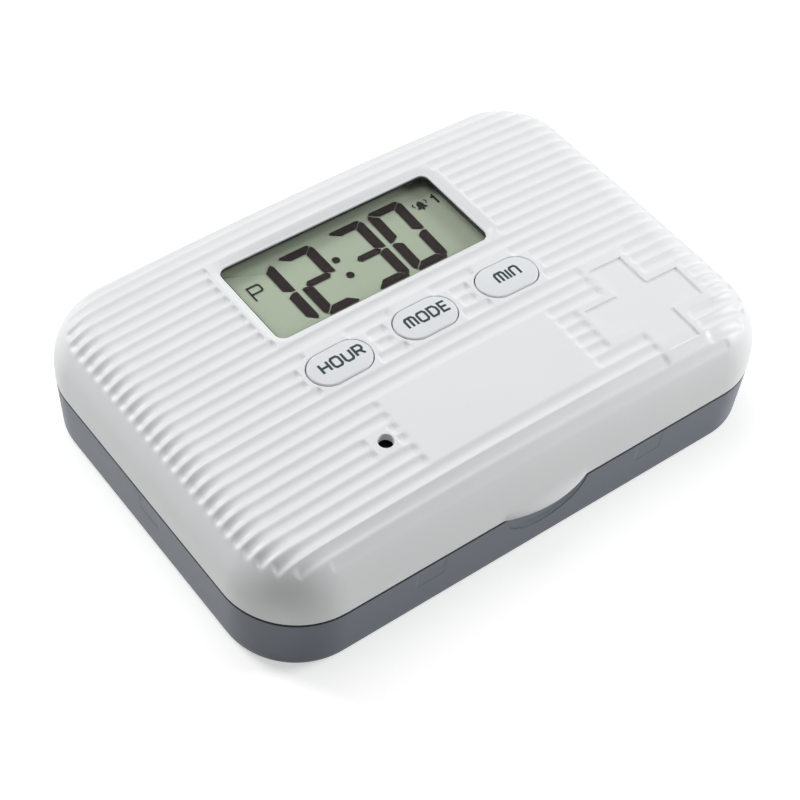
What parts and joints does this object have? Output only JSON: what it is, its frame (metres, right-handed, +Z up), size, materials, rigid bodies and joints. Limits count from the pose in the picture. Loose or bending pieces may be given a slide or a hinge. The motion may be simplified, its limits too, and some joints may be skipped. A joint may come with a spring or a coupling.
{
  "type": "electronic pill box",
  "caption": "Pocket pill box: a ribbed lid with a clock display, setting buttons and a buzzer, hinged to a tray of pill compartments.",
  "frame": {"origin": "middle of the flat underside of the base", "axes": "+X to the right along the long side, +Y towards the hinge at the back, +Z up through the lid"},
  "size_m": [0.1158, 0.0863, 0.0286],
  "materials": {
    "white_plastic": "satin moulded white",
    "key_plastic": "satin white with a printed legend",
    "inner_white_plastic": "moulded white",
    "slate_plastic": "smooth slate grey, slightly translucent",
    "tray_plastic": "smooth slate grey",
    "clear_lens": "clear acrylic",
    "lcd_glass": "grey-green liquid crystal panel",
    "black_plastic": "moulded black",
    "contact_rubber": "striped conductive rubber",
    "dome_rubber": "silicone",
    "board_laminate": "green solder mask",
    "steel": "nickel plated",
    "cell_jacket": "plain dark jacket",
    "red_wire": "insulation",
    "black_wire": "insulation"
  },
  "bodies": {
    "base": {"base_shell": "slate_plastic", "pill_tray": "tray_plastic", "hinge_pin_left": "steel", "hinge_pin_right": "steel"},
    "lid": {"top_cover": "white_plastic", "display_lens": "clear_lens", "lcd_panel": "lcd_glass", "lcd_frame": "black_plastic", "zebra_strip_front": "contact_rubber", "zebra_strip_back": "contact_rubber", "hour_button_dome": "dome_rubber", "mode_button_dome": "dome_rubber", "min_button_dome": "dome_rubber", "circuit_board": "board_laminate", "controller_chip": "black_plastic", "quartz_crystal": "steel", "buzzer": "black_plastic", "battery_cell_back": "cell_jacket", "battery_cell_front": "cell_jacket", "battery_plus_contact": "steel", "battery_minus_spring": "steel", "battery_bridge_spring": "steel", "battery_lead_red": "red_wire", "battery_lead_black": "black_wire", "inner_cover": "inner_white_plastic", "battery_door": "inner_white_plastic", "battery_door_screw": "steel", "inner_cover_screw_1": "steel", "inner_cover_screw_2": "steel", "inner_cover_screw_3": "steel", "inner_cover_screw_4": "steel", "board_screw_1": "steel", "board_screw_2": "steel", "board_screw_3": "steel", "board_screw_4": "steel"},
    "hour_button": {"hour_button": "key_plastic"},
    "mode_button": {"mode_button": "key_plastic"},
    "min_button": {"min_button": "key_plastic"}
  },
  "joints": [
    {"name": "lid_hinge", "type": "hinge", "parent": "base", "child": "lid", "pos_m": [0, 0.0419, 0.0134], "axis": [-1, 0, 0], "range_deg": [0, 170]},
    {"name": "hour_button_press", "type": "slide", "parent": "lid", "child": "hour_button", "axis": [0, 0, -1], "range_m": [0, 0.0008], "stiffness_N_per_m": 1200, "deforming": ["hour_button_dome"]},
    {"name": "mode_button_press", "type": "slide", "parent": "lid", "child": "mode_button", "axis": [0, 0, -1], "range_m": [0, 0.0008], "stiffness_N_per_m": 1200, "deforming": ["mode_button_dome"]},
    {"name": "min_button_press", "type": "slide", "parent": "lid", "child": "min_button", "axis": [0, 0, -1], "range_m": [0, 0.0008], "stiffness_N_per_m": 1200, "deforming": ["min_button_dome"]}
  ]
}
